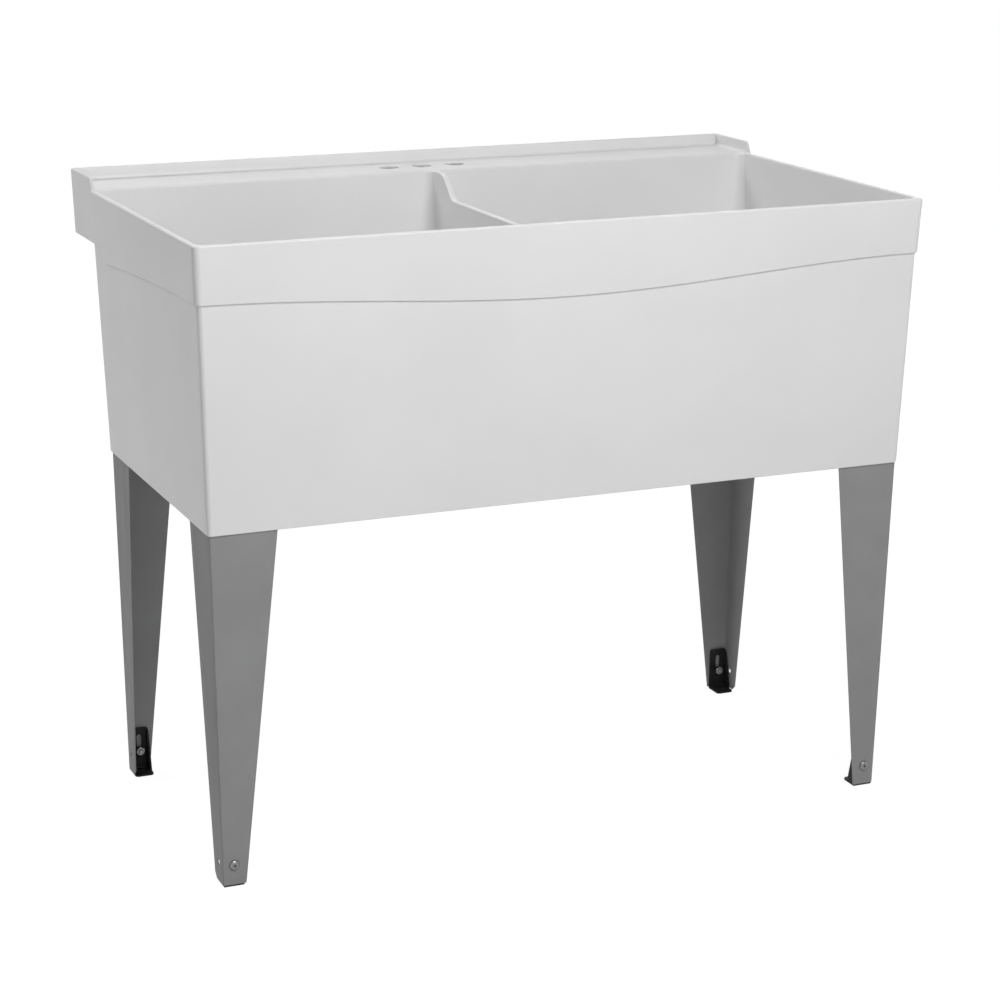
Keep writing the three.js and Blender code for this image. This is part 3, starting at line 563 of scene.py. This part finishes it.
for corner in corners:
    node = "foot_bolt_" + corner
    shape = bolt_shape(BOLT_LENGTH)
    bmesh.ops.translate(shape, vec=(0, -SEAT, 0), verts=shape.verts)
    bmesh.ops.transform(shape, matrix=seats[corner], verts=shape.verts)
    finished(shape, "truss_head_bolt_" + corner, "sink", node, 30.0)

# %% [markdown]
# ## Hex nuts and lock washers
# A nut is a hexagon with a round bore, and a cone has taken its six corners off at both
# ends. Rings of 24 points make all of it: the outer two are drawn out to the hexagon, and
# their corners step back by the slope of the cone. The washers are right as solids and only
# get soft edges.

# %% A nut
NUT_ACROSS = 11.1 * MM
NUT_HEIGHT = 5.4 * MM
NUT_PLACE = 6.9 * MM  # from the leg's outer face, behind sheet, foot and washer
NUT_FLAT = NUT_ACROSS / 2 * 0.96  # radius of the flat ring that the cone leaves
CONE_SLOPE = math.tan(math.radians(30))
BORE = 3.15 * MM
BORE_MOUTH = 3.5 * MM
MOUTH_DEPTH = 0.35 * MM
WASHER_EDGE = 0.15 * MM


def onto_hexagon(lift):
    """Moves a ring's point out to the hexagon, and back from the end at the corners."""
    def swell(point):
        angle = math.atan2(point.z, point.x)
        past_flat = (angle + math.pi / 6) % (math.pi / 3) - math.pi / 6
        reach = NUT_ACROSS / 2 / math.cos(past_flat)
        back_off = lift * (reach - NUT_FLAT) * CONE_SLOPE
        return Vector((reach * math.cos(angle), point.y + back_off, reach * math.sin(angle)))
    return swell


def nut_shape():
    """A chamfered hex nut about Y, from 0 up."""
    shape = bmesh.new()
    rings = [
        loop_of(shape, 24, BORE, MOUTH_DEPTH),
        loop_of(shape, 24, BORE_MOUTH, 0.0),
        loop_of(shape, 24, NUT_FLAT, 0.0),
        loop_of(shape, 24, NUT_FLAT, 0.0, onto_hexagon(1)),
        loop_of(shape, 24, NUT_FLAT, NUT_HEIGHT, onto_hexagon(-1)),
        loop_of(shape, 24, NUT_FLAT, NUT_HEIGHT),
        loop_of(shape, 24, BORE_MOUTH, NUT_HEIGHT),
        loop_of(shape, 24, BORE, NUT_HEIGHT - MOUTH_DEPTH),
    ]
    skinned(shape, rings + rings[:1])
    return turned_out(shape)


for corner in corners:
    node = "foot_nut_" + corner
    shape = nut_shape()
    bmesh.ops.translate(shape, vec=(0, NUT_PLACE, 0), verts=shape.verts)
    bmesh.ops.transform(shape, matrix=seats[corner], verts=shape.verts)
    finished(shape, "hex_nut_" + corner, "sink", node, 20.0)
    node = "foot_washer_" + corner
    softened(finished(welded(node), "lock_washer_" + corner, "sink", node), WASHER_EDGE)

# %% [markdown]
# ## Drain fittings
# The stopper is one rubber moulding with a knob to lift it by, so its outline is spun. The
# strainer, tailpiece and slip nut are right as solids and only need their edges eased.

# %% Stoppers
DRAIN_MIDDLE = Vector((0.25175, -0.0439, 0.5043))
# Radius and height over the recess's floor, in mm, from the foot of the plug to the knob's top.
STOPPER_OUTLINE = (
    (0.0, -12.2), (18.5, -12.2), (19.0, -11.8), (20.3, -0.9), (20.6, -0.2),
    (29.5, 0.0), (29.9, 0.4), (30.0, 1.2), (29.9, 2.2), (29.3, 2.8), (28.0, 3.2),
    (24.0, 3.35), (12.0, 3.7), (5.6, 4.2), (4.3, 4.9), (3.7, 6.0), (3.6, 8.5),
    (3.9, 10.2), (4.9, 11.4), (5.7, 12.4), (6.0, 13.4), (5.8, 14.5), (5.1, 15.4),
    (3.0, 16.0), (0.0, 16.2),
)
DRAIN_PIECES = (
    ("strainer_disc_", "drain_strainer_", 0.2 * MM),
    ("waste_tailpiece_", "tailpiece_", 0.3 * MM),
    ("slip_nut_", "coupling_nut_", 0.8 * MM),
)


def spun(outline):
    """A solid of revolution about Z from an outline in millimetres."""
    shape = bmesh.new()
    points = [shape.verts.new((radius * MM, 0, up * MM)) for radius, up in outline]
    edges = [shape.edges.new(pair) for pair in zip(points, points[1:])]
    bmesh.ops.spin(
        shape,
        geom=points + edges,
        cent=(0, 0, 0),
        axis=(0, 0, 1),
        angle=math.tau,
        steps=48,
        use_merge=True,
    )
    return turned_out(shape)


for side, x_sign in zip(sides, (-1, 1)):
    shape = spun(STOPPER_OUTLINE)
    bmesh.ops.translate(shape, vec=DRAIN_MIDDLE * Vector((x_sign, 1, 1)), verts=shape.verts)
    finished(shape, "rubber_stopper_" + side, "stopper_" + side, "stopper_" + side)
    for name, node, width in DRAIN_PIECES:
        softened(finished(welded(node + side), name + side, "sink", node + side), width)

# %% [markdown]
# ## Floor and light
# The tub stands on a white sweep. The floor has to look white to the camera and in
# reflections, and still keep the object's soft shadow, so what the camera sees is mostly
# plain white with a share that takes the shadow. Near the object the two shares add up to
# white. Further off, where the lamps hardly reach, the plain white makes up the difference.
# Everything else sees an ordinary pale floor, which throws light up at the tub.

# %% Floor
HALF_FLOOR = 14.0
PALE = (0.78, 0.78, 0.78, 1.0)
SHADOW_SHARE = (0.16, 0.16, 0.16, 1.0)
WHITE = (1, 1, 1, 1)
floor_shape = bmesh.new()
bmesh.ops.create_grid(floor_shape, x_segments=2, y_segments=2, size=HALF_FLOOR)
floor_mesh = bpy.data.meshes.new("studio_floor")
floor_shape.to_mesh(floor_mesh)
floor_shape.free()
floor = bpy.data.objects.new("studio_floor", floor_mesh)
bpy.context.scene.collection.objects.link(floor)


def seen_directly(tree):
    """1 for what the camera sees straight, in a reflection or through glass."""
    path = add(tree, "ShaderNodeLightPath").outputs
    seen = path["Is Camera Ray"]
    for name in ("Is Glossy Ray", "Is Transmission Ray"):
        seen = add(tree, "ShaderNodeMath", {0: seen, 1: path[name]}, operation="MAXIMUM").outputs[0]
    return seen


floor_paint = bpy.data.materials.new("studio_floor")
floor_paint.use_nodes = True
tree = floor_paint.node_tree
tree.nodes.clear()
pale = add(tree, "ShaderNodeBsdfDiffuse", {"Color": PALE}).outputs[0]
veil = add(tree, "ShaderNodeBsdfDiffuse", {"Color": SHADOW_SHARE}).outputs[0]
reach = add(tree, "ShaderNodeVectorMath", {0: place(tree)}, operation="LENGTH").outputs["Value"]
far = spread(tree, reach, 0.9, 2.6, 0.935, 1.0)
glow = add(tree, "ShaderNodeEmission", {"Color": WHITE, "Strength": far}).outputs[0]
shown = add(tree, "ShaderNodeAddShader", {0: veil, 1: glow}).outputs[0]
mixed = add(tree, "ShaderNodeMixShader", {0: seen_directly(tree), 1: pale, 2: shown})
add(tree, "ShaderNodeOutputMaterial", {"Surface": mixed.outputs[0]})
floor_mesh.materials.append(floor_paint)
print("floor:", floor.name, "of", 2 * HALF_FLOOR, "m")

# %% [markdown]
# ## World and lamps
# The studio is a dim white room with a bright backdrop that only the camera and reflections
# see. The light comes from soft boxes: a strong one high behind the tub's left lights the
# ledge and the left side, one high in front and a large low one light the front and reach
# into the bowls, and weak ones to the right keep that side from going dark. The powers were
# found by rendering each lamp alone and weighing the pictures against the tub's tones.

# %% World and lamps
world = bpy.data.worlds.new("studio")
bpy.context.scene.world = world
world.use_nodes = True
tree = world.node_tree
tree.nodes.clear()
around = add(tree, "ShaderNodeBackground", {"Color": WHITE, "Strength": 0.06}).outputs[0]
backdrop = add(tree, "ShaderNodeBackground", {"Color": WHITE, "Strength": 1.0}).outputs[0]
mixed = add(tree, "ShaderNodeMixShader", {0: seen_directly(tree), 1: around, 2: backdrop})
add(tree, "ShaderNodeOutputWorld", {"Surface": mixed.outputs[0]})


def lamp(name, where, aim, size, power):
    """A square soft box at a place, turned to face another."""
    data = bpy.data.lights.new(name, "AREA")
    data.shape = "SQUARE"
    data.size = size
    data.energy = power
    box = bpy.data.objects.new(name, data)
    box.location = where
    box.rotation_euler = (Vector(aim) - Vector(where)).to_track_quat("-Z", "Y").to_euler()
    bpy.context.scene.collection.objects.link(box)


# Name, place, what it faces, size in metres and power in watts.
SOFT_BOXES = (
    ("back_left_box", (-2.4, 2.0, 3.4), (0, 0, 0.7), 2.0, 54.0),
    ("overhead_box", (0, 2.2, 3.8), (0, 0, 0.6), 2.4, 26.0),
    ("front_box", (0.2, -2.1, 1.4), (0.1, 0, 0.65), 1.0, 3.0),
    ("front_high_box", (-0.1, -1.9, 2.3), (0, 0, 0.65), 1.0, 35.0),
    ("front_low_box", (-0.3, -4.6, 1.3), (0, 0, 0.6), 2.4, 22.0),
    ("right_box", (4.6, -0.6, 1.6), (0, 0, 0.6), 2.4, 22.0),
    ("back_right_box", (3.6, 2.6, 1.8), (0, 0, 0.6), 2.4, 22.0),
)
for soft_box in SOFT_BOXES:
    lamp(*soft_box)
